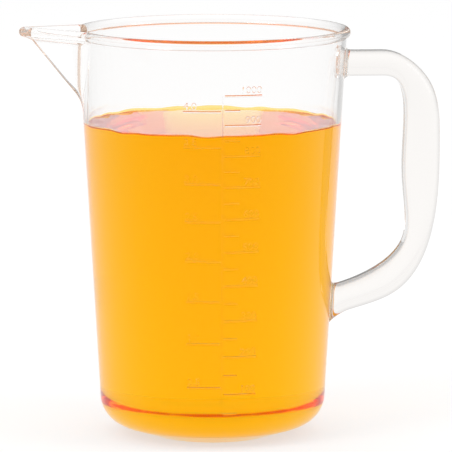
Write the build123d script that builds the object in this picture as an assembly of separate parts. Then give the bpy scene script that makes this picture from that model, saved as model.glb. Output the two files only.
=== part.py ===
from build123d import *
import os
from math import atan, cos, degrees, pi, sin, sqrt

# A clear plastic measuring jug of one litre, partly filled with liquid detergent.
# The vessel is a tapered round cup with a big corner radius at the floor, a beaded rim
# and a long pointed spout. A strap handle stands opposite the spout, and two raised
# scales stand on the side between them.
# Millimetres. The origin is on the vessel's axis in the plane of its foot, +Z is up,
# the spout points along -X, the handle along +X, and the scales face -Y.

# Vessel
rim_height = 167.7
base_radius = 45.52  # the outer wall, carried down to the plane of the foot
wall_slope = 0.057  # growth of the radius for each millimetre of height
wall = 1.9
floor_height = 6.2  # of the inside of the floor
inner_corner = 13.1  # radius between floor and wall, inside
outer_corner = 12.5  # radius between base and wall, outside
foot_radius = 26.0  # outer edge of the ring that it stands on
foot_ring_width = 4.0
foot_round = 2.0
base_rise = 6.7  # of the base's slope, from the foot to the wall
recess_depth = 2.6
recess_taper = 40.0  # degrees
bead_radius = 2.0
bead_overhang = 1.65  # how far the bead stands out past the wall

# Spout
spout_reach = 77.0  # from the axis to the point where its two beads meet
spout_half_width = 15.6  # between the beads' centre lines and the middle, at the rim
spout_depth = 31.5  # from the beads down to the keel's sharp line, at the rim
spout_keel_radius = 3.2  # of the keel outside, at the rim, less towards the tip
channel_keel_radius = 1.9  # of the keel inside, at the rim
spout_rise = 0.8  # how much higher the tip is than the rim
spout_root_fillet = 3.0

# Handle
strap_width = 15.0
strap_drop = 9.9  # from the rim down to the top of the upper arm
strap_arm_depth = 10.1
strap_reach = 93.6  # from the axis
strap_bend = 23.6  # back from the reach, where the straight upper arm starts to bend
grip_drop = 35.3  # below the upper arm's top, where the strap reaches furthest
grip_depth = 15.0
shoulder_inset = 4.2  # of the outside's upper bend, back from the strap's furthest reach
shoulder_drop = 12.8
heel_inset = 19.8  # of the outside's lower bend
heel_rise = 6.1
palm_drop = 49.6  # where the inside of the grip stands grip_depth in from the reach
inner_heel_inset = 0.7
inner_heel_rise = 16.2
strap_span = 107.1  # from the upper arm's top to the underside of the lower arm
strap_foot_depth = 10.2
lower_arm_slope = 0.3
strap_flare = 8.5  # how far the underside flares, out along the arm and down the wall
strap_buried = 3.0  # how far the strap's ends run into the vessel before they are cut
strap_outer_round = 4.8
strap_inner_round = 2.8
strap_root_fillet = 2.4

# Contents and scales
fill_volume = 860.0  # millilitres
mark_height = 0.5
mark_proud = 0.35
scale_line_width = 0.4  # of the upright line between the two scales
mark_gap_angle = 0.8  # from the scales' middle line to the near end of each mark
mark_short_angle = 7.5
mark_long_angle = 17.0
mark_step = 50.0  # millilitres
cup_volume = 236.6  # millilitres
cup_step = 0.5
headroom = 20.0  # between the rim and the highest mark, at least

bead_height = rim_height - bead_radius  # of the bead's centre line
draft = atan(wall_slope)


def wall_radius(height):
    """Outer radius of the wall."""
    return base_radius + wall_slope * height


bead_ring_radius = wall_radius(bead_height) + bead_overhang - bead_radius


def turned(outline, rounds):
    """A solid turned from half an outline, with a radius at some of its corners."""
    face = make_face(Plane.XZ * Polyline(*outline, close=True))
    for (x, z), radius in rounds.items():
        corner = face.vertices().sort_by_distance((x, 0, z))[0]
        face = fillet(corner, radius)
    return revolve(face, Axis.Z)


def outer_form(high):
    """The outside of the vessel as a solid: foot, sloping base, round corner and wall."""
    foot = (foot_radius, 0)
    corner = (wall_radius(base_rise), base_rise)
    outline = [(0, 0), foot, corner, (wall_radius(high), high), (0, high)]
    return turned(outline, {corner: outer_corner, foot: foot_round})


# The wall is measured square to its face, so the inside is set in by a little more.
wall_inset = wall / cos(draft)
over_rim = rim_height + 2 * bead_radius


def cavity_form():
    """The inside of the vessel as a solid."""
    corner = (wall_radius(floor_height) - wall_inset, floor_height)
    mouth = (wall_radius(over_rim) - wall_inset, over_rim)
    outline = [(0, floor_height), corner, mouth, (0, over_rim)]
    return turned(outline, {corner: inner_corner})


def inside_radius(height):
    """Radius of the cavity, by the same floor, corner and taper."""
    centre_height = floor_height + inner_corner
    tangent_height = centre_height - inner_corner * sin(draft)
    if height >= tangent_height:
        return wall_radius(height) - wall_inset
    centre_radius = wall_radius(centre_height) - wall_inset - inner_corner / cos(draft)
    return centre_radius + sqrt(inner_corner**2 - (centre_height - height) ** 2)


def volume_to(level, steps=200):
    """Millilitres held up to a level."""
    slice_height = (level - floor_height) / steps
    middles = (floor_height + (i + 0.5) * slice_height for i in range(steps))
    return sum(pi * inside_radius(h) ** 2 for h in middles) * slice_height / 1000


def level_of(volume):
    """Height of the surface for a volume, by halving."""
    low, high = floor_height, rim_height
    while high - low > 0.001:
        middle = (low + high) / 2
        low, high = (middle, high) if volume_to(middle) < volume else (low, middle)
    return low


# The spout is a pointed form that narrows and rises from the rim to its tip.
rim_point = sqrt(bead_ring_radius**2 - spout_half_width**2)
spout_length = spout_reach - rim_point


def spout_section(distance, keel_radius, extra):
    """Section across the spout at a distance from the axis, as if narrowing on to the tip."""
    share = (spout_reach - distance) / spout_length
    top = bead_height + spout_rise * (1 - share)
    half_width = spout_half_width * share
    keel = top - spout_depth * share
    plane = Plane(origin=(-distance, 0, 0), x_dir=(0, 1, 0), z_dir=(1, 0, 0))
    outline = Polyline(
        (-half_width, top), (0, keel), (half_width, top), (half_width, top + extra),
        (-half_width, top + extra), close=True,
    )
    face = make_face(plane * outline)
    keel_point = face.vertices().sort_by(Axis.Z)[0]
    return fillet(keel_point, keel_radius * share)


def spout_form(keel_radius, extra):
    """The spout as a solid, from inside the vessel nearly to its tip."""
    root = spout_section(rim_point - 4 * bead_radius, keel_radius, extra)
    tip = spout_section(spout_reach - bead_radius / 2, keel_radius, extra)
    return loft([root, tip], ruled=True)


def channel_form():
    """The inside of the spout: its outer form moved in square to the keel, so that the
    flat sides keep the wall's thickness."""
    keel = Vector(-spout_length, 0, spout_depth + spout_rise)
    edge = Vector(-spout_length, -spout_half_width, spout_rise)
    side = edge.cross(keel).normalized()
    distance = wall / sqrt(side.X**2 + side.Z**2)
    inward = Vector(keel.Z, 0, spout_length).normalized()
    return Pos(inward * distance) * spout_form(channel_keel_radius, bead_radius)


def rod(start, end):
    """A round rod of the bead's section between two points."""
    plane = Plane(origin=start, z_dir=end - start)
    return extrude(plane * Circle(bead_radius), (end - start).length)


def make_bead():
    """The bead round the rim, out along both edges of the spout and round its tip."""
    half_angle = degrees(atan(spout_half_width / rim_point))
    section = Plane.XZ * Pos(bead_ring_radius, bead_height) * Circle(bead_radius)
    ring = revolve(Rot(Z=180 + half_angle) * section, Axis.Z, 360 - 2 * half_angle)
    tip = Vector(-spout_reach, 0, bead_height + spout_rise)
    bead = ring + Pos(tip) * Sphere(bead_radius)
    for side in (-1, 1):
        corner = Vector(-rim_point, side * spout_half_width, bead_height)
        bead += rod(corner, tip)
        bead += Pos(corner) * Sphere(bead_radius)
    return bead


def joined_forms(round_form, pointed_form, root_round):
    """The round and pointed forms in one, with the hollow lines where they meet rounded."""
    joined = round_form + pointed_form
    lines = new_edges(round_form, pointed_form, combined=joined)
    upright = [edge for edge in lines if edge.bounding_box().min.Z < bead_height]
    return fillet(upright, root_round)


def make_vessel():
    """Wall, floor, foot, spout and beaded rim, as one moulding."""
    spout = spout_form(spout_keel_radius, bead_radius)
    outside = joined_forms(outer_form(over_rim), spout, spout_root_fillet)
    inside = joined_forms(cavity_form(), channel_form(), spout_root_fillet + wall)
    above = Pos(Z=bead_height) * extrude(Circle(2 * spout_reach), 2 * spout_reach)
    recess = extrude(Circle(foot_radius - foot_ring_width), recess_depth, taper=recess_taper)
    return outside - above - inside - recess + make_bead()


def strap_outline():
    """Side view of the strap: a straight upper arm, a grip that swells, and a lower arm
    that slants in to the vessel and flares under it. Its ends run on into the vessel."""
    strap_top = rim_height - strap_drop
    arm_end = strap_reach - strap_bend
    under_arm = strap_top - strap_arm_depth
    strap_foot = strap_top - strap_span
    over_foot = strap_foot + strap_foot_depth
    foot_wall = wall_radius(strap_foot)
    inner_reach = strap_reach - grip_depth
    outer = Spline(
        (arm_end, strap_top),
        (strap_reach - shoulder_inset, strap_top - shoulder_drop),
        (strap_reach, strap_top - grip_drop),
        (strap_reach - heel_inset, strap_foot + heel_rise),
        (foot_wall + strap_flare, strap_foot),
        tangents=((1, 0), (-1, -lower_arm_slope)), tangent_scalars=(1, 1),
    )
    inner = Spline(
        (foot_wall + strap_flare / 2, over_foot),
        (inner_reach - inner_heel_inset, over_foot + inner_heel_rise),
        (inner_reach, strap_top - palm_drop),
        (arm_end, under_arm),
        tangents=((1, lower_arm_slope), (-1, 0)), tangent_scalars=(1, 1),
    )
    under_flare = strap_foot - strap_flare
    flare = TangentArc(outer @ 1, (foot_wall - strap_buried, under_flare), tangent=outer % 1)
    hidden = foot_wall - strap_buried - strap_flare
    over_hidden = over_foot - lower_arm_slope * (foot_wall + strap_flare / 2 - hidden)
    return [
        outer,
        flare,
        Line(flare @ 1, (hidden, under_flare)),
        Line((hidden, under_flare), (hidden, over_hidden)),
        Line((hidden, over_hidden), inner @ 0),
        inner,
        Line(inner @ 1, (hidden, under_arm)),
        Line((hidden, under_arm), (hidden, strap_top)),
        Line((hidden, strap_top), outer @ 0),
    ]


def along(shape, lines):
    """The edges of the strap's two flat sides that follow lines of its outline."""
    faces = [Plane.XZ.offset(side * strap_width / 2) for side in (-1, 1)]
    middles = [(face * line).center() for face in faces for line in lines]
    return [e for e in shape.edges() if any((e.center() - m).length < 0.01 for m in middles)]


def make_handle():
    """The strap with rounded edges and roots, cut to the vessel's outer face."""
    lines = strap_outline()
    outer, flare, _, _, buried, inner, under_arm, _, over_arm = lines
    strap = extrude(make_face(Plane.XZ * (Curve() + lines)), strap_width / 2, both=True)
    strap = fillet(along(strap, (over_arm, outer, flare)), strap_outer_round)
    strap = fillet(along(strap, (under_arm, inner, buried)), strap_inner_round)
    cup = outer_form(bead_height)
    joined = cup + strap
    roots = new_edges(cup, strap, combined=joined)
    return fillet(roots, strap_root_fillet) - cup


def make_fill():
    """The detergent, as a solid that fills the cavity up to its level."""
    surface = level_of(fill_volume)
    return cavity_form() & extrude(Circle(wall_radius(rim_height)), surface)


def mark(volume, start, end):
    """A raised bar on the wall's outside at the level of a volume, between two angles."""
    low = level_of(volume) - mark_height / 2
    high = low + mark_height
    outline = Polyline(
        (wall_radius(low), low),
        (wall_radius(low) + mark_proud, low),
        (wall_radius(high) + mark_proud, high),
        (wall_radius(high), high),
        close=True,
    )
    bar = revolve(make_face(Plane.XZ * outline), Axis.Z, end - start)
    return Rot(Z=start - 90) * bar


def marked_volumes(step):
    """The multiples of a step that stay clear of the rim."""
    volumes = []
    while level_of(step * (len(volumes) + 1)) < rim_height - headroom:
        volumes.append(step * (len(volumes) + 1))
    return volumes


def millilitre_marks():
    """Bars towards the handle: long ones at every second step and short ones between."""
    ends = (mark_short_angle, mark_long_angle)
    volumes = enumerate(marked_volumes(mark_step))
    return Compound(children=[mark(v, mark_gap_angle, ends[i % 2]) for i, v in volumes])


def cup_marks():
    """Bars towards the spout, at each half cup."""
    volumes = marked_volumes(cup_volume * cup_step)
    return Compound(children=[mark(v, -mark_long_angle, -mark_gap_angle) for v in volumes])


def scale_line():
    """The upright line between the scales, from the highest mark down to the floor's corner."""
    top = level_of(marked_volumes(mark_step)[-1]) + mark_height / 2
    low = base_rise + outer_corner
    raised = Cone(
        wall_radius(low) + mark_proud, wall_radius(top) + mark_proud, top - low,
        align=(Align.CENTER, Align.CENTER, Align.MIN),
    )
    strip = Box(
        scale_line_width, 2 * spout_reach, top - low, align=(Align.CENTER, Align.MAX, Align.MIN)
    )
    return (Pos(Z=low) * (raised & strip)) - outer_form(rim_height)


nodes = {
    "vessel": make_vessel,
    "handle": make_handle,
    "detergent": make_fill,
    "millilitre_marks": millilitre_marks,
    "cup_marks": cup_marks,
    "scale_line": scale_line,
}

if __name__ == "__main__":
    os.makedirs("parts", exist_ok=True)
    for name, make in nodes.items():
        export_step(make(), f"parts/{name}.step")
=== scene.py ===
# A clear plastic measuring jug with orange liquid detergent in it, dressed on its CAD frame.
import math

import bmesh
import bpy
import numpy as np
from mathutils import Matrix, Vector


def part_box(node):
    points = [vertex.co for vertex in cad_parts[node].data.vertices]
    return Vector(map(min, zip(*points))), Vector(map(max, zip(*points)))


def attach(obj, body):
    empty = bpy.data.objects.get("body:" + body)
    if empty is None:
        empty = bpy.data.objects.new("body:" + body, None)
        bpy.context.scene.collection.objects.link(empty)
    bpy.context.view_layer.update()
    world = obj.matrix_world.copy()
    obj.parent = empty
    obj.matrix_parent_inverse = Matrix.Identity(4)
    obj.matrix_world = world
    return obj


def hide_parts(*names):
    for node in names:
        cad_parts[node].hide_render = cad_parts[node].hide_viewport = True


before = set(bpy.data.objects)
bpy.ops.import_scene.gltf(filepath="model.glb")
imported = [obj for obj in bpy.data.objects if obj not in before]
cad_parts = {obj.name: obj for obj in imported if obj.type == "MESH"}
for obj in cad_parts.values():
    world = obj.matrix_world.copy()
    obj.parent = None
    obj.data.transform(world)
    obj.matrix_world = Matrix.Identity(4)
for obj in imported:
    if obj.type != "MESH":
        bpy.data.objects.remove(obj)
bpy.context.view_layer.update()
print("frame loaded")

millimetre = 0.001


# outlines are drawn from point to point in millimetres and then turned about the axis

def lineTo(bm, pen, x, z, cuts=0):
    # carries the outline on from the pen in equal steps, and gives back the new pen
    start, end = pen.co.copy(), Vector((x, 0, z))
    for i in range(1, cuts + 2):
        pen = bmesh.ops.extrude_vert_indiv(bm, verts=[pen])["verts"][0]
        pen.co = start.lerp(end, i / (cuts + 1))
    return pen


def arcTo(bm, pen, centreX, centreZ, angle, steps):
    # a positive angle turns from +Z towards +X
    turned = bmesh.ops.spin(
        bm, geom=[pen], cent=(centreX, 0, centreZ), axis=(0, 1, 0), angle=angle, steps=steps
    )
    return [g for g in turned["geom_last"] if isinstance(g, bmesh.types.BMVert)][0]


def roundTo(bm, pen, corner, after, radius, steps, cuts=0):
    # a line towards a corner and the arc round it, ready to go on to the point after
    came = (Vector(corner) - Vector((pen.co.x, pen.co.z))).normalized()
    goes = (Vector(after) - Vector(corner)).normalized()
    turn = math.atan2(came.x * goes.y - came.y * goes.x, came.dot(goes))
    start = Vector(corner) - came * radius * math.tan(abs(turn) / 2)
    pen = lineTo(bm, pen, start.x, start.y, cuts)
    side = 1 if turn > 0 else -1
    centre = start + Vector((-came.y, came.x)) * radius * side
    return arcTo(bm, pen, centre.x, centre.y, -turn, steps)


def turnOutline(bm, steps):
    # the full turn about Z, closed along its seam and at its two poles
    bmesh.ops.spin(
        bm, geom=bm.verts[:] + bm.edges[:], cent=(0, 0, 0), axis=(0, 0, 1),
        angle=2 * math.pi, steps=steps, use_merge=True,
    )
    onAxis = [v for v in bm.verts if math.hypot(v.co.x, v.co.y) < 1e-4]
    bmesh.ops.remove_doubles(bm, verts=onAxis, dist=1e-3)
    bmesh.ops.recalc_face_normals(bm, faces=bm.faces[:])


def pieceFrom(bm, name, sharpAngle=40):
    # the bmesh as an object in metres, smooth but for its sharp lines
    bmesh.ops.scale(bm, vec=(millimetre,) * 3, verts=bm.verts[:])
    mesh = bpy.data.meshes.new(name)
    bm.to_mesh(mesh)
    bm.free()
    mesh.shade_smooth()
    mesh.set_sharp_from_angle(angle=math.radians(sharpAngle))
    piece = bpy.data.objects.new(name, mesh)
    bpy.context.scene.collection.objects.link(piece)
    return piece


def standInFor(node, piece, body):
    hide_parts(node)
    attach(piece, body)
    return piece


# the jug's body: floor, foot, wall, beaded rim and spout

jugBody = {
    "rimHeight": 167.7,
    "baseRadius": 45.52,  # of the wall's outside, carried down to the foot's plane
    "wallSlope": 0.057,
    "wall": 1.9,
    "floorHeight": 6.2,
    "innerCorner": 8.0,
    "outerCorner": 12.5,
    "footRadius": 26.0,
    "footRing": 4.0,
    "footRound": 2.0,
    "baseRise": 6.7,
    "recessDepth": 2.6,
    "recessTaper": 40.0,  # degrees
    "beadRadius": 2.0,
    "beadOverhang": 1.65,
    "cornerSteps": 18,
    "beadSteps": 30,
    "upperCuts": 30,  # across the upper wall, which is drawn out into the spout
    "turnSteps": 384,
    "gathering": 0.75,  # how far the columns of faces crowd towards the spout
}

jugSpout = {
    "reach": 77.0,
    "halfWidth": 15.6,
    "depth": 31.5,
    "keelRadius": 3.2,
    "rise": 0.8,
    "rootFillet": 2.2,
    "wallAtTip": 0.7,
    "startsAt": 128.0,  # height below which the wall is plain
    "spread": 36.0,  # degrees each side that the spout can reach
    "searchFrom": 4.0,  # each new place is looked for from this far inside the old one
    "halvings": 36,
}

draft = math.atan(jugBody["wallSlope"])
beadHeight = jugBody["rimHeight"] - jugBody["beadRadius"]


def wallRadius(height):
    return jugBody["baseRadius"] + jugBody["wallSlope"] * height


def innerRadius(height):
    return wallRadius(height) - jugBody["wall"] / math.cos(draft)


beadRing = wallRadius(beadHeight) + jugBody["beadOverhang"] - jugBody["beadRadius"]
rimPoint = math.sqrt(beadRing**2 - jugSpout["halfWidth"]**2)
spoutLength = jugSpout["reach"] - rimPoint


def drawJugOutline(bm):
    b = jugBody
    ringInside = b["footRadius"] - b["footRing"]
    recessTop = ringInside - b["recessDepth"] * math.tan(math.radians(b["recessTaper"]))
    low = b["floorHeight"]
    split = jugSpout["startsAt"]
    pen = bm.verts.new((0, 0, b["recessDepth"]))
    pen = lineTo(bm, pen, recessTop, b["recessDepth"], 3)
    pen = lineTo(bm, pen, ringInside, 0, 2)
    baseCorner = (wallRadius(b["baseRise"]), b["baseRise"])
    pen = roundTo(bm, pen, (b["footRadius"], 0), baseCorner, b["footRound"], 5)
    pen = roundTo(bm, pen, baseCorner, (wallRadius(split), split), b["outerCorner"], b["cornerSteps"], 3)
    pen = lineTo(bm, pen, wallRadius(split), split, 8)
    # the bead leaves the outer wall where its circle crosses the wall's line
    out = wallRadius(beadHeight) - beadRing
    back = innerRadius(beadHeight) - beadRing
    drop = math.sqrt(b["beadRadius"]**2 - out**2)
    pen = lineTo(bm, pen, beadRing + out, beadHeight - drop, b["upperCuts"])
    startAngle = math.atan2(-drop, out)
    endAngle = 2 * math.pi + math.atan2(-math.sqrt(b["beadRadius"]**2 - back**2), back)
    pen = arcTo(bm, pen, beadRing, beadHeight, startAngle - endAngle, b["beadSteps"])
    pen = lineTo(bm, pen, innerRadius(split), split, b["upperCuts"])
    pen = roundTo(bm, pen, (innerRadius(low), low), (0, low), b["innerCorner"], b["cornerSteps"], 8)
    lineTo(bm, pen, 0, low, 5)


def roundedUnion(a, b, radius):
    # two distances as one form, with a fillet in the hollow between them
    reachA, reachB = np.maximum(radius - a, 0), np.maximum(radius - b, 0)
    return np.maximum(radius, np.minimum(a, b)) - np.sqrt(reachA**2 + reachB**2)


def roundedEdge(a, b, radius):
    # what is inside both, with their shared edge rounded
    reachA, reachB = np.maximum(radius + a, 0), np.maximum(radius + b, 0)
    return np.minimum(-radius, np.maximum(a, b)) + np.sqrt(reachA**2 + reachB**2)


def distanceToForm(r, angle, z):
    # from the outside of cup and spout together; x runs out along the spout
    x, y = r * np.cos(angle), r * np.sin(angle)
    cup = (r - wallRadius(z)) * math.cos(draft)
    tip = np.array([jugSpout["reach"], 0, beadHeight + jugSpout["rise"]])
    corner = np.array([rimPoint, jugSpout["halfWidth"], beadHeight])
    keel = np.array([rimPoint, 0, beadHeight - jugSpout["depth"]])
    normal = np.cross(keel - tip, corner - tip)
    normal /= np.linalg.norm(normal)
    normal *= np.sign(normal[1])
    along = normal[0] * (x - tip[0]) + normal[2] * (z - tip[2])
    sides = along + normal[1] * y, along - normal[1] * y
    share = np.clip((jugSpout["reach"] - x) / spoutLength, 0.05, 1)
    spout = roundedEdge(*sides, jugSpout["keelRadius"] * share)
    return roundedUnion(cup, spout, jugSpout["rootFillet"])


def distanceToRimLine(r, angle, _):
    # in plan, from the line that the bead's middle follows; less than 0 inside it
    x, y = r * np.cos(angle), np.abs(r * np.sin(angle))
    corner = np.array([rimPoint, jugSpout["halfWidth"]])
    lip = np.array([jugSpout["reach"], 0]) - corner
    share = np.clip(((x - corner[0]) * lip[0] + (y - corner[1]) * lip[1]) / (lip @ lip), 0, 1)
    toLip = np.hypot(x - corner[0] - share * lip[0], y - corner[1] - share * lip[1])
    pastCorner = np.arctan2(y, x) > math.atan2(corner[1], corner[0])
    toRing = np.where(pastCorner, np.abs(r - beadRing), np.inf)
    inside = (r < beadRing) | ((x - corner[0]) * -lip[1] + (y - corner[1]) * lip[0] < 0)
    return np.where(inside, -1, 1) * np.minimum(toLip, toRing)


def radiusWhere(distance, level, angle, z, low):
    # by halving: how far out each ray from the axis meets the wanted distance
    low, high = low.copy(), np.full_like(low, jugSpout["reach"] + 2 * jugBody["beadRadius"])
    for _ in range(jugSpout["halvings"]):
        middle = (low + high) / 2
        short = distance(middle, angle, z) < level
        low, high = np.where(short, middle, low), np.where(short, high, middle)
    return low


def drawOutSpout(bm):
    # crowds the columns of faces towards -X and draws the wall and bead out to the spout:
    # the outside first, then the inside by its thickness from it, then the bead
    place = np.array([v.co[:] for v in bm.verts])
    r = np.hypot(place[:, 0], place[:, 1])
    z = place[:, 2]
    around = np.arctan2(place[:, 1], -place[:, 0])
    around = around - jugBody["gathering"] * np.sin(around)
    fromBead = np.hypot(r - beadRing, z - beadHeight)
    onBead = fromBead < jugBody["beadRadius"] + 0.01
    near = (np.abs(around) < math.radians(jugSpout["spread"])) & (z >= jugSpout["startsAt"])
    onInside = r < wallRadius(z) - jugBody["wall"] / 2
    innermost = r - jugSpout["searchFrom"]
    newR = r.copy()
    walls = near & ~onBead
    level = np.zeros(walls.sum())
    newR[walls] = radiusWhere(distanceToForm, level, around[walls], z[walls], innermost[walls])
    outAlong = np.clip((newR * np.cos(around) - rimPoint) / spoutLength, 0, 1)
    thickness = jugBody["wall"] + (jugSpout["wallAtTip"] - jugBody["wall"]) * np.minimum(3 * outAlong, 1)
    walls = walls & onInside
    level = -thickness[walls]
    newR[walls] = radiusWhere(distanceToForm, level, around[walls], z[walls], innermost[walls])
    beads = near & onBead
    level = (r - beadRing)[beads]
    newR[beads] = radiusWhere(distanceToRimLine, level, around[beads], z[beads], innermost[beads])
    outAlong = np.clip((newR * np.cos(around) - rimPoint) / spoutLength, 0, 1)
    upWall = np.clip((z - beadHeight + jugSpout["depth"]) / jugSpout["depth"], 0, 1)
    lift = np.where(near, jugSpout["rise"] * outAlong * upWall, 0)
    for v, x, y, h in zip(bm.verts, -newR * np.cos(around), newR * np.sin(around), z + lift):
        v.co = (x, y, h)


def markFaces(piece, name, wanted):
    # 1 on the faces whose middle, in millimetres, and normal are wanted, for the material to read
    marks = piece.data.attributes.new(name, "FLOAT", "FACE")
    faces = piece.data.polygons
    values = [float(wanted(Vector(face.center) / millimetre, face.normal)) for face in faces]
    marks.data.foreach_set("value", values)


def makeJugBody():
    bm = bmesh.new()
    drawJugOutline(bm)
    turnOutline(bm, jugBody["turnSteps"])
    drawOutSpout(bm)
    bmesh.ops.recalc_face_normals(bm, faces=bm.faces[:])
    piece = pieceFrom(bm, "jugBody")
    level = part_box("detergent")[1].z / millimetre

    def isWet(middle, normal):
        facesAxis = normal.x * middle.x + normal.y * middle.y < 0.1
        return facesAxis and jugBody["floorHeight"] - 0.5 < middle.z < level + detergentFill["lipHeight"]

    markFaces(piece, "wet", isWet)
    return standInFor("vessel", piece, "root")


# the strap handle, smoothed from the CAD solid

strapHandle = {
    "grain": 0.42,  # size of the new skin's faces
    "rootsWithin": 0.06,  # what lies this near to the wall is a root
    "sunkenRoot": 0.8,  # and runs this far into it
    "smoothing": 18,
}


def makeStrapHandle():
    bm = bmesh.new()
    bm.from_mesh(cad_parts["handle"].data)
    bmesh.ops.scale(bm, vec=(1 / millimetre,) * 3, verts=bm.verts[:])
    bmesh.ops.remove_doubles(bm, verts=bm.verts[:], dist=0.002)
    for v in bm.verts:
        r = math.hypot(v.co.x, v.co.y)
        if r - wallRadius(v.co.z) < strapHandle["rootsWithin"]:
            sunk = (r - strapHandle["sunkenRoot"]) / r
            v.co.x, v.co.y = v.co.x * sunk, v.co.y * sunk
    piece = pieceFrom(bm, "strapHandle")
    skin = piece.modifiers.new("skin", "REMESH")
    skin.mode = "VOXEL"
    skin.voxel_size = strapHandle["grain"] * millimetre
    ease = piece.modifiers.new("ease", "SMOOTH")
    ease.iterations = strapHandle["smoothing"]
    ease.factor = 0.5
    settled = bpy.data.meshes.new_from_object(
        piece.evaluated_get(bpy.context.evaluated_depsgraph_get())
    )
    piece.modifiers.clear()
    piece.data = settled
    settled.shade_smooth()
    return standInFor("handle", piece, "root")


# the detergent, with the small lip that it draws up the wall

detergentFill = {
    "intoWall": 0.35,  # its skin runs this far into the plastic, so that no air shows between
    "lipHeight": 0.8,
    "lipReach": 1.5,
    "lipSteps": 10,
    "cornerSteps": 24,
    "ripples": ((9, 0.4, 0.22), (17, 2.1, 0.2), (26, 5.0, 0.1)),  # waves round the edge, phase, height
    "rippleReach": 7.0,
    "turnSteps": 256,
}


def makeDetergent():
    f = detergentFill
    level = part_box("detergent")[1].z / millimetre
    low = jugBody["floorHeight"] - f["intoWall"]

    def skin(height):
        return innerRadius(height) + f["intoWall"]

    bm = bmesh.new()
    pen = bm.verts.new((0, 0, low))
    corner, after = (skin(low), low), (skin(level), level)
    pen = roundTo(bm, pen, corner, after, jugBody["innerCorner"], f["cornerSteps"], 8)
    top = level + f["lipHeight"]
    pen = lineTo(bm, pen, skin(top), top, 14)
    lipRadius = innerRadius(top) - 0.05
    pen = lineTo(bm, pen, lipRadius, top)
    # the lip is a hollow curve from the wall down to the level
    for i in range(1, f["lipSteps"] + 1):
        share = i / f["lipSteps"]
        x = lipRadius - f["lipReach"] * share**1.6
        pen = lineTo(bm, pen, x, level + f["lipHeight"] * (1 - share)**2.4)
    lineTo(bm, pen, 0, level, 12)
    turnOutline(bm, f["turnSteps"])
    # the edge isn't quite level: small waves stand along the wall
    for v in bm.verts:
        r = math.hypot(v.co.x, v.co.y)
        nearWall = (r - innerRadius(level)) / f["rippleReach"] + 1
        if v.co.z > level - 0.3 and nearWall > 0:
            around = math.atan2(v.co.y, v.co.x)
            wave = sum(height * math.sin(count * around + phase) for count, phase, height in f["ripples"])
            v.co.z += wave * min(nearWall, 1)**2
    piece = pieceFrom(bm, "detergentFill", 60)

    def isOpen(middle, _):
        return middle.z > level - 0.3 and math.hypot(middle.x, middle.y) < innerRadius(middle.z)

    markFaces(piece, "open", isOpen)
    return standInFor("detergent", piece, "root")


# the raised scales on the front: bars, numbers and the line between

scaleMarks = {
    "proud": 0.42,  # of the wall's outside
    "sunk": 0.15,  # and how far each mark's back runs into the wall
    "barHeight": 0.85,
    "lineWidth": 0.5,
    "roundness": 8,  # faces across a mark's rounded front
    "turnStep": 0.5,  # degrees between the cuts along a bar
    "leastGap": 2.0,  # between one bar and the next
    "digitSize": 4.1,
    "digitWidth": 1.1,  # of the font's own width
    "digitEdge": 0.15,  # width of the bevel round each digit
    "digitLift": 0.5,  # clear height between a bar and its number
    "digitCuts": 6,  # along each curve of a digit
    "digitWeld": 0.005,  # corners this close become one
    "millilitreStep": 50,
    "cupStep": 0.5,
}


def barsOf(node):
    # the CAD's bars, lowest first: the height of each and its two ends as angles from the front
    corners = sorted((v.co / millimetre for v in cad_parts[node].data.vertices), key=lambda c: c.z)
    bars = [[corners[0]]]
    for corner in corners[1:]:
        if corner.z - bars[-1][-1].z > scaleMarks["leastGap"]:
            bars.append([])
        bars[-1].append(corner)
    found = []
    for bar in bars:
        around = [math.atan2(c.x, -c.y) for c in bar]
        found.append(((bar[0].z + bar[-1].z) / 2, min(around), max(around)))
    return found


def onWall(around, height, out):
    # a place on the wall's outside, or proud of it
    r = wallRadius(height) + out
    return (r * math.sin(around), -r * math.cos(around), height)


def roundedFront(width):
    # across and out: a flat back in the wall and a front like half an ellipse
    s = scaleMarks
    turns = [math.pi * i / s["roundness"] for i in range(s["roundness"] + 1)]
    front = [(-width / 2 * math.cos(t), s["proud"] * math.sin(t)) for t in turns]
    return [(-width / 2, -s["sunk"])] + front + [(width / 2, -s["sunk"])]


def closeEnds(bm):
    openEdges = [e for e in bm.edges if e.is_boundary]
    bmesh.ops.holes_fill(bm, edges=openEdges, sides=0)
    bmesh.ops.recalc_face_normals(bm, faces=bm.faces[:])


def raisedBar(bm, height, start, end):
    front = roundedFront(scaleMarks["barHeight"])
    corners = [bm.verts.new(onWall(start, height + up, out)) for up, out in front]
    ring = [bm.edges.new(pair) for pair in zip(corners, corners[1:] + corners[:1])]
    steps = math.ceil(math.degrees(end - start) / scaleMarks["turnStep"])
    bmesh.ops.spin(
        bm, geom=corners + ring, cent=(0, 0, 0), axis=(0, 0, 1), angle=end - start, steps=steps
    )


def raisedBars(node):
    # a mesh of the node's bars, and where each one stands
    bm = bmesh.new()
    bars = barsOf(node)
    for bar in bars:
        raisedBar(bm, *bar)
    closeEnds(bm)
    return bm, bars


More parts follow.
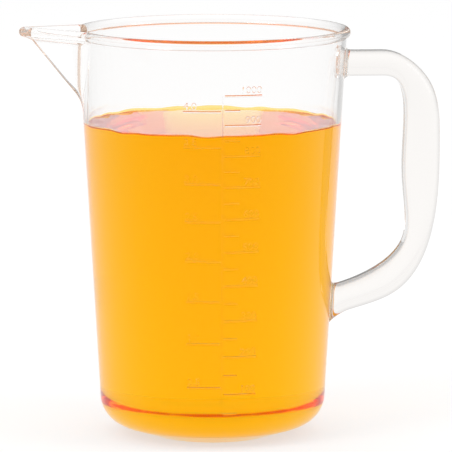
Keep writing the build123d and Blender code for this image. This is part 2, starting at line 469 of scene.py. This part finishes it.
def raisedNumber(bm, words, alignment, around, bar):
    # over a bar's height: the digits are drawn flat, made a mesh and then bent round the wall
    s = scaleMarks
    height = bar + (s["barHeight"] / 2 + s["digitLift"])
    font = bpy.data.curves.new("digits", "FONT")
    font.body = words
    font.size = s["digitSize"]
    font.align_x = alignment
    font.extrude = (s["proud"] + s["sunk"]) / 2 - s["digitEdge"]
    font.bevel_depth = s["digitEdge"]
    font.bevel_resolution = 2
    font.resolution_u = s["digitCuts"]
    font.offset = -s["digitEdge"]
    flat = bpy.data.objects.new("digits", font)
    bpy.context.scene.collection.objects.link(flat)
    mesh = bpy.data.meshes.new_from_object(flat)
    bpy.data.objects.remove(flat)
    bpy.data.curves.remove(font)
    digits = bmesh.new()
    digits.from_mesh(mesh)
    bmesh.ops.remove_doubles(digits, verts=digits.verts[:], dist=s["digitWeld"])
    for v in digits.verts:
        across = v.co.x * s["digitWidth"] / wallRadius(height)
        v.co = onWall(around + across, height + v.co.y, v.co.z + (s["proud"] - s["sunk"]) / 2)
    digits.to_mesh(mesh)
    digits.free()
    bm.from_mesh(mesh)
    bpy.data.meshes.remove(mesh)


def makeMillilitreScale():
    # towards the handle, with a number over each long bar
    bm, bars = raisedBars("millilitre_marks")
    for i, (height, _, end) in enumerate(bars):
        if i % 2:
            volume = scaleMarks["millilitreStep"] * (i + 1)
            raisedNumber(bm, str(volume), "RIGHT", end, height)
    return standInFor("millilitre_marks", pieceFrom(bm, "millilitreScale"), "root")


def makeCupScale():
    # towards the spout, with a number over each bar
    bm, bars = raisedBars("cup_marks")
    for i, (height, start, _) in enumerate(bars):
        cups = scaleMarks["cupStep"] * (i + 1)
        raisedNumber(bm, f"{cups:.1f}", "LEFT", start, height)
    return standInFor("cup_marks", pieceFrom(bm, "cupScale"), "root")


def makeScaleLine():
    # the upright line between the two scales
    low, high = (corner.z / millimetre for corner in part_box("scale_line"))
    bm = bmesh.new()
    rings = []
    for height in (low, high):
        front = roundedFront(scaleMarks["lineWidth"])
        corners = [bm.verts.new(onWall(side / wallRadius(height), height, out)) for side, out in front]
        rings += [bm.edges.new(pair) for pair in zip(corners, corners[1:] + corners[:1])]
    bmesh.ops.bridge_loops(bm, edges=rings)
    closeEnds(bm)
    return standInFor("scale_line", pieceFrom(bm, "scaleLine"), "root")


# the see-through materials

clearPlastic = {
    "colour": (1.0, 1.0, 1.0, 1),
    "roughness": (0.004, 0.02),
    "ior": 1.5,
    "gloss": (0.18, 0.18, 0.18, 1),  # weaker than the index gives, as the room in front is dim
    "tint": (0.8, 0.725, 0.65, 1),  # what its thickness lets through
    "thickness": 20.0,  # strength of the tint, for each metre
    "waviness": 0.00008,  # height of the faint waves that moulding leaves, in metres
    "waveScale": 55.0,
    "edge": (0.25, 0.85, 0.5),  # painted edge shade: where a slanting view starts to grey, where it ends, and how far
}

detergentLiquid = {
    "colour": (1.0, 0.8, 0.3, 1),
    "roughness": (0.0, 0.004),
    "ior": 1.39,
    "gloss": (1, 1, 1, 1),
    "tint": (1.0, 0.9, 0.0, 1),
    "thickness": 64.0,
    "waviness": 0.00003,
    "waveScale": 90.0,
}

# a painted warm glow: the plastic emits light, standing in for light still running round inside it after
# many reflections
paintedTrappedGlow = {
    "colour": (0.9, 0.79, 0.72, 1),
    "strength": 0.05,  # at each reflection
    "after": 3,  # reflections
}


def seeThroughMaterial(name, recipe):
    material = bpy.data.materials.new(name)
    material.use_nodes = True
    nodes, links = material.node_tree.nodes, material.node_tree.links
    shader = nodes["Principled BSDF"]
    shader.inputs["Base Color"].default_value = recipe["colour"]
    shader.inputs["IOR"].default_value = recipe["ior"]
    shader.inputs["Specular Tint"].default_value = recipe["gloss"]
    shader.inputs["Transmission Weight"].default_value = 1
    depth = nodes.new("ShaderNodeVolumeAbsorption")
    depth.inputs["Color"].default_value = recipe["tint"]
    depth.inputs["Density"].default_value = recipe["thickness"]
    links.new(depth.outputs["Volume"], nodes["Material Output"].inputs["Volume"])
    # faint waves, and a polish that comes and goes with them
    where = nodes.new("ShaderNodeTexCoord")
    waves = nodes.new("ShaderNodeTexNoise")
    waves.inputs["Scale"].default_value = recipe["waveScale"]
    waves.inputs["Detail"].default_value = 2
    links.new(where.outputs["Object"], waves.inputs["Vector"])
    polish = nodes.new("ShaderNodeMapRange")
    polish.inputs["To Min"].default_value, polish.inputs["To Max"].default_value = recipe["roughness"]
    links.new(waves.outputs["Fac"], polish.inputs["Value"])
    links.new(polish.outputs["Result"], shader.inputs["Roughness"])
    bump = nodes.new("ShaderNodeBump")
    bump.inputs["Distance"].default_value = recipe["waviness"]
    links.new(waves.outputs["Fac"], bump.inputs["Height"])
    links.new(bump.outputs["Normal"], shader.inputs["Normal"])
    return material


def glowWhenTrapped(material):
    # paints a glow into the plastic as emission, standing in for trapped light; it only shows along lines
    # where a view goes round inside the plastic
    nodes, links = material.node_tree.nodes, material.node_tree.links
    shader = nodes["Principled BSDF"]
    shader.inputs["Emission Color"].default_value = paintedTrappedGlow["colour"]
    path = nodes.new("ShaderNodeLightPath")
    glow = nodes.new("ShaderNodeMapRange")
    glow.inputs["From Min"].default_value = paintedTrappedGlow["after"]
    glow.inputs["From Max"].default_value = paintedTrappedGlow["after"] + 1
    glow.inputs["To Max"].default_value = paintedTrappedGlow["strength"]
    links.new(path.outputs["Glossy Depth"], glow.inputs["Value"])
    links.new(glow.outputs["Result"], shader.inputs["Emission Strength"])


def greyAtEdges(material, start, end, least):
    # painted shade: the base colour greys where the surface is seen slanting, so rounded edges draw a
    # faint grey line that stands in for the darker surroundings they would show
    nodes, links = material.node_tree.nodes, material.node_tree.links
    slant = nodes.new("ShaderNodeLayerWeight")
    edgeShade = nodes.new("ShaderNodeMapRange")
    for socket, value in zip(("From Min", "From Max", "To Min", "To Max"), (start, end, 1.0, least)):
        edgeShade.inputs[socket].default_value = value
    links.new(slant.outputs["Facing"], edgeShade.inputs["Value"])
    links.new(edgeShade.outputs["Result"], nodes["Principled BSDF"].inputs["Base Color"])


def bendByFace(material, attribute, unmarked, marked):
    # light bends by one index on the marked faces and by another on the rest
    nodes, links = material.node_tree.nodes, material.node_tree.links
    mark = nodes.new("ShaderNodeAttribute")
    mark.attribute_name = attribute
    index = nodes.new("ShaderNodeMapRange")
    index.inputs["To Min"].default_value = unmarked
    index.inputs["To Max"].default_value = marked
    links.new(mark.outputs["Fac"], index.inputs["Value"])
    links.new(index.outputs["Result"], nodes["Principled BSDF"].inputs["IOR"])


# floor, light, backdrop and camera

studio = {
    "floorSize": 12.0,
    "floorColour": (0.5, 0.5, 0.5, 1),
    "floorGlow": 0.6,  # so that the open floor is white, with the shadow still on it
    "skyForMatt": 0.75,
    "skyForGloss": 0.3,
    "ceilingForGloss": 1.0,
    "glossCeiling": (0.45, 0.8),  # sine of the elevation where the ceiling starts, and where it is full
    "skyThrough": 1.0,
    "ceilingThrough": 0.8,
    "throughCeiling": (0.5, 0.8),
    "turnedInside": 0.5,  # share of the room's light that reaches the eye by a bounce inside a wall
}

# place and size in metres, and power in watts
softboxes = {
    "softboxLeft": ((-1.6, -1.2, 1.3), (0.9, 1.4), 12),
    "softboxRight": ((1.7, -0.8, 1.1), (0.7, 1.2), 7),
}

# reflections and crossings that are followed through the plastic and the liquid
lightPaths = {"all": 40, "glossy": 24, "transmission": 32}

# millimetres and degrees
camera = {
    "lookAt": (0, 0, 82.3),
    "elevation": 8.5,
    "azimuth": -4.45,
    "distance": 1800.0,
    "lens": 348.4,
    "aimRight": 5.57,  # the picture's middle lies this far right of and above what it looks at
    "aimUp": 3.26,
}


def reckon(tree, operation, *values):
    # one step of arithmetic in a node tree, on numbers or on other nodes' outputs
    step = tree.nodes.new("ShaderNodeMath")
    step.operation = operation
    for socket, value in zip(step.inputs, values):
        if isinstance(value, (int, float)):
            socket.default_value = value
        else:
            tree.links.new(value, socket)
    return step.outputs[0]


def dimIfTurned(tree, path, level):
    # light that a wall has turned back inside itself comes from the dimmer sides of the room
    crossings = reckon(tree, "COMPARE", path.outputs["Transmission Depth"], 2.5, 0.6)
    turned = reckon(tree, "MINIMUM", path.outputs["Glossy Depth"], crossings)
    share = reckon(tree, "MULTIPLY_ADD", turned, studio["turnedInside"] - 1, 1.0)
    return reckon(tree, "MULTIPLY", level, share)


def makeFloor():
    bm = bmesh.new()
    bmesh.ops.create_grid(bm, x_segments=4, y_segments=4, size=studio["floorSize"] / 2)
    mesh = bpy.data.meshes.new("studioFloor")
    bm.to_mesh(mesh)
    bm.free()
    floor = bpy.data.objects.new("studioFloor", mesh)
    bpy.context.scene.collection.objects.link(floor)
    material = bpy.data.materials.new("paleFloor")
    material.use_nodes = True
    tree = material.node_tree
    shader = tree.nodes["Principled BSDF"]
    shader.inputs["Base Color"].default_value = studio["floorColour"]
    shader.inputs["Roughness"].default_value = 1
    shader.inputs["Specular IOR Level"].default_value = 0
    shader.inputs["Emission Color"].default_value = (1, 1, 1, 1)
    path = tree.nodes.new("ShaderNodeLightPath")
    seen = reckon(tree, "MAXIMUM", path.outputs["Is Camera Ray"], path.outputs["Is Glossy Ray"])
    seen = reckon(tree, "MAXIMUM", seen, path.outputs["Is Transmission Ray"])
    glow = dimIfTurned(tree, path, reckon(tree, "MULTIPLY", seen, studio["floorGlow"]))
    tree.links.new(glow, shader.inputs["Emission Strength"])
    mesh.materials.append(material)


def makeWorld():
    world = bpy.data.worlds.new("studioSky")
    bpy.context.scene.world = world
    world.use_nodes = True
    tree = world.node_tree
    nodes, links = tree.nodes, tree.links
    background = nodes["Background"]
    where = nodes.new("ShaderNodeTexCoord")
    height = nodes.new("ShaderNodeSeparateXYZ")
    links.new(where.outputs["Generated"], height.inputs[0])

    def towardsCeiling(low, high, start, end):
        ramp = nodes.new("ShaderNodeMapRange")
        ramp.interpolation_type = "SMOOTHSTEP"
        for socket, value in zip(("From Min", "From Max", "To Min", "To Max"), (start, end, low, high)):
            ramp.inputs[socket].default_value = value
        links.new(height.outputs["Z"], ramp.inputs["Value"])
        return ramp.outputs["Result"]

    def choose(chosen, yes, no):
        mix = nodes.new("ShaderNodeMix")
        links.new(chosen, mix.inputs["Factor"])
        for socket, value in ((mix.inputs["A"], no), (mix.inputs["B"], yes)):
            if isinstance(value, float):
                socket.default_value = value
            else:
                links.new(value, socket)
        return mix.outputs["Result"]

    gloss = towardsCeiling(studio["skyForGloss"], studio["ceilingForGloss"], *studio["glossCeiling"])
    through = towardsCeiling(studio["skyThrough"], studio["ceilingThrough"], *studio["throughCeiling"])
    path = nodes.new("ShaderNodeLightPath")
    glossy, passed = path.outputs["Is Glossy Ray"], path.outputs["Transmission Depth"]
    level = choose(glossy, gloss, studio["skyForMatt"])
    # whatever has passed through the plastic, or been reflected after it, sees the backdrop
    level = choose(reckon(tree, "MINIMUM", glossy, passed), through, level)
    level = choose(path.outputs["Is Camera Ray"], 1.0, level)
    background.inputs["Color"].default_value = (1, 1, 1, 1)
    links.new(dimIfTurned(tree, path, level), background.inputs["Strength"])


def makeLamp(name, place, size, power):
    lamp = bpy.data.lights.new(name, "AREA")
    lamp.shape = "RECTANGLE"
    lamp.size, lamp.size_y = size
    lamp.energy = power
    holder = bpy.data.objects.new(name, lamp)
    holder.location = place
    holder.rotation_euler = (Vector((0, 0, 0.08)) - Vector(place)).to_track_quat("-Z", "Y").to_euler()
    bpy.context.scene.collection.objects.link(holder)


def makeCamera():
    e, a = math.radians(camera["elevation"]), math.radians(camera["azimuth"])
    back = Vector((math.sin(a) * math.cos(e), -math.cos(a) * math.cos(e), math.sin(e)))
    right = Vector((math.cos(a), math.sin(a), 0))
    up = back.cross(right)
    target = Vector(camera["lookAt"]) * millimetre
    eye = target + back * camera["distance"] * millimetre
    aim = target + (right * camera["aimRight"] + up * camera["aimUp"]) * millimetre
    view = bpy.data.cameras.new("jugCamera")
    view.lens = camera["lens"]
    view.sensor_width = 36
    view.clip_start, view.clip_end = 0.05, 50
    holder = bpy.data.objects.new("jugCamera", view)
    holder.location = eye
    holder.rotation_euler = (aim - eye).to_track_quat("-Z", "Y").to_euler()
    bpy.context.scene.collection.objects.link(holder)
    bpy.context.scene.camera = holder


makeCamera()
makeFloor()
makeWorld()
for name, (place, size, power) in softboxes.items():
    makeLamp(name, place, size, power)
bpy.context.scene.view_settings.view_transform = "Standard"
bounces = bpy.context.scene.cycles
bounces.max_bounces = lightPaths["all"]
bounces.glossy_bounces = lightPaths["glossy"]
bounces.transmission_bounces = lightPaths["transmission"]
print("studio ready")

plastic = seeThroughMaterial("clearPlastic", clearPlastic)
# painted glow in the clear plastic
glowWhenTrapped(plastic)
# painted shade along the clear plastic's slanting edges
greyAtEdges(plastic, *clearPlastic["edge"])
# where the wall is wet, light only meets the small step between plastic and liquid
wettedPlastic = seeThroughMaterial("wettedPlastic", clearPlastic)
# painted glow in the wet wall too
glowWhenTrapped(wettedPlastic)
bendByFace(wettedPlastic, "wet", clearPlastic["ior"], clearPlastic["ior"] / detergentLiquid["ior"])
# and so the liquid itself bends light only at its open surface
liquid = seeThroughMaterial("detergentLiquid", detergentLiquid)
bendByFace(liquid, "open", 1.0, detergentLiquid["ior"])

makeJugBody().data.materials.append(wettedPlastic)
print("jug body turned")
handle = makeStrapHandle()
handle.data.materials.clear()
handle.data.materials.append(plastic)
print("handle smoothed")
makeDetergent().data.materials.append(liquid)
print("detergent poured")

for makeMarks in (makeMillilitreScale, makeCupScale, makeScaleLine):
    makeMarks().data.materials.append(plastic)
print("scales raised")
